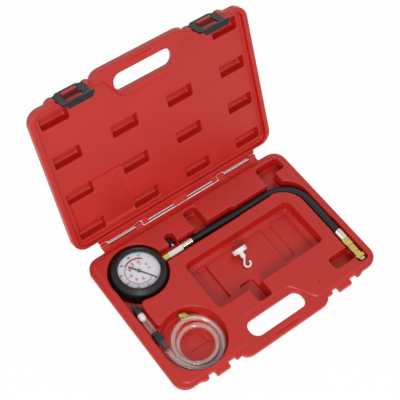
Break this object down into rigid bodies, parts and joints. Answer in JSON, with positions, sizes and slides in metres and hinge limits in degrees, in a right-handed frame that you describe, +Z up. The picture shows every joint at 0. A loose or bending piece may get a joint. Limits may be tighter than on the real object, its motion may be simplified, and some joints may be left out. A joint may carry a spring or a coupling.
{
  "type": "pressure tester kit",
  "caption": "Open red carry case with a booted dial gauge, black pressure hose, sight tube with a coiled clear drain hose, and a magnetic hook",
  "frame": {"origin": "centre of the base half's foot, on the table", "axes": "X along the hinge to the right, Y from the handle towards the hinge, Z up; the lid stands open as pictured"},
  "size_m": [0.35, 0.3707, 0.2823],
  "materials": {
    "case_red": "fine-grained blow-moulded polyethylene",
    "black_plastic": "satin moulded plastic",
    "grey_plastic": "satin moulded plastic",
    "white_plastic": "satin moulded plastic",
    "black_rubber": "matt rubber",
    "black_metal": "semi-gloss paint",
    "white_metal": "matt white paint with printed scales",
    "white_enamel": "gloss white coating",
    "clear_plastic": "polished clear plastic",
    "clear_hose": "clear flexible tubing",
    "brass": "turned and bright",
    "nickel": "nickel plate",
    "steel": "drawn steel",
    "magnet": "ground magnet face"
  },
  "bodies": {
    "base": {"case_base": "case_red", "hinge_rod": "steel", "gauge_boot": "black_rubber", "gauge_case": "black_metal", "gauge_bezel": "black_metal", "gauge_lens": "clear_plastic", "lens_gasket": "black_rubber", "dial_plate": "white_metal", "dial_screws": "brass", "movement_frame": "brass", "bourdon_tube": "brass", "tip_link": "brass", "hairspring": "steel", "gauge_socket": "brass", "valve_body": "nickel", "bleed_stub": "nickel", "bleed_spring": "steel", "near_ferrule": "nickel", "pressure_hose": "black_rubber", "far_ferrule": "nickel", "hose_tail": "brass", "hose_coupler": "brass", "loop_cap": "black_plastic", "tube_plug": "white_plastic", "sight_tube": "clear_plastic", "tube_collar": "black_plastic", "nozzle": "grey_plastic", "clear_hose": "clear_hose", "drain_ferrule": "nickel", "drain_tail": "brass", "hook_cup": "white_enamel", "hook_magnet": "magnet", "hook_wire": "white_enamel"},
    "lid": {"case_lid": "case_red"},
    "latch_left_body": {"latch_left": "black_plastic"},
    "latch_right_body": {"latch_right": "black_plastic"},
    "sector": {"sector_gear": "brass"},
    "pointer_body": {"pointer": "black_metal", "pinion_arbor": "brass"},
    "bleed": {"bleed_button": "black_plastic"},
    "end_nut": {"swivel_nut": "brass"},
    "union_nut": {"drain_nut": "brass"},
    "sight_ring": {"knurled_ring": "black_plastic"}
  },
  "joints": [
    {"name": "lid_hinge", "type": "hinge", "parent": "base", "child": "lid", "pos_m": [0, 0.127, 0.04], "axis": [1, 0, 0], "range_deg": [0, 113.5]},
    {"name": "latch_left_swing", "type": "hinge", "parent": "lid", "child": "latch_left_body", "pos_m": [-0.108, 0.23654, 0.25931], "axis": [-1, 0, 0], "range_deg": [0, 100]},
    {"name": "latch_right_swing", "type": "hinge", "parent": "lid", "child": "latch_right_body", "pos_m": [0.108, 0.23654, 0.25931], "axis": [-1, 0, 0], "range_deg": [0, 100]},
    {"name": "sector_turn", "type": "hinge", "parent": "base", "child": "sector", "pos_m": [-0.13322, 0.0665, 0.029], "axis": [0, 0, 1], "range_deg": [0, 24.8]},
    {"name": "pointer_turn", "type": "hinge", "parent": "base", "child": "pointer_body", "pos_m": [-0.1155, 0.0665, 0.029], "axis": [0, 0, 1], "range_deg": [-248.5, 0]},
    {"name": "bleed_press", "type": "slide", "parent": "base", "child": "bleed", "axis": [0, -1, 0], "range_m": [0, 0.0022], "stiffness_N_per_m": 250, "deforming": ["bleed_spring"]},
    {"name": "end_nut_spin", "type": "hinge", "parent": "base", "child": "end_nut", "pos_m": [0.1559, -0.0967, 0.0365], "axis": [0, -1, 0], "continuous": true},
    {"name": "union_nut_spin", "type": "hinge", "parent": "base", "child": "union_nut", "pos_m": [-0.08853, -0.03319, 0.02377], "axis": [-0.8138, 0.4698, 0.342], "continuous": true},
    {"name": "sight_ring_spin", "type": "hinge", "parent": "base", "child": "sight_ring", "pos_m": [-0.153, -0.035, 0.036], "axis": [0, 1, 0], "continuous": true}
  ],
  "couplings": [
    {"joint": "pointer_turn", "follows": "sector_turn", "ratio": -10}
  ]
}
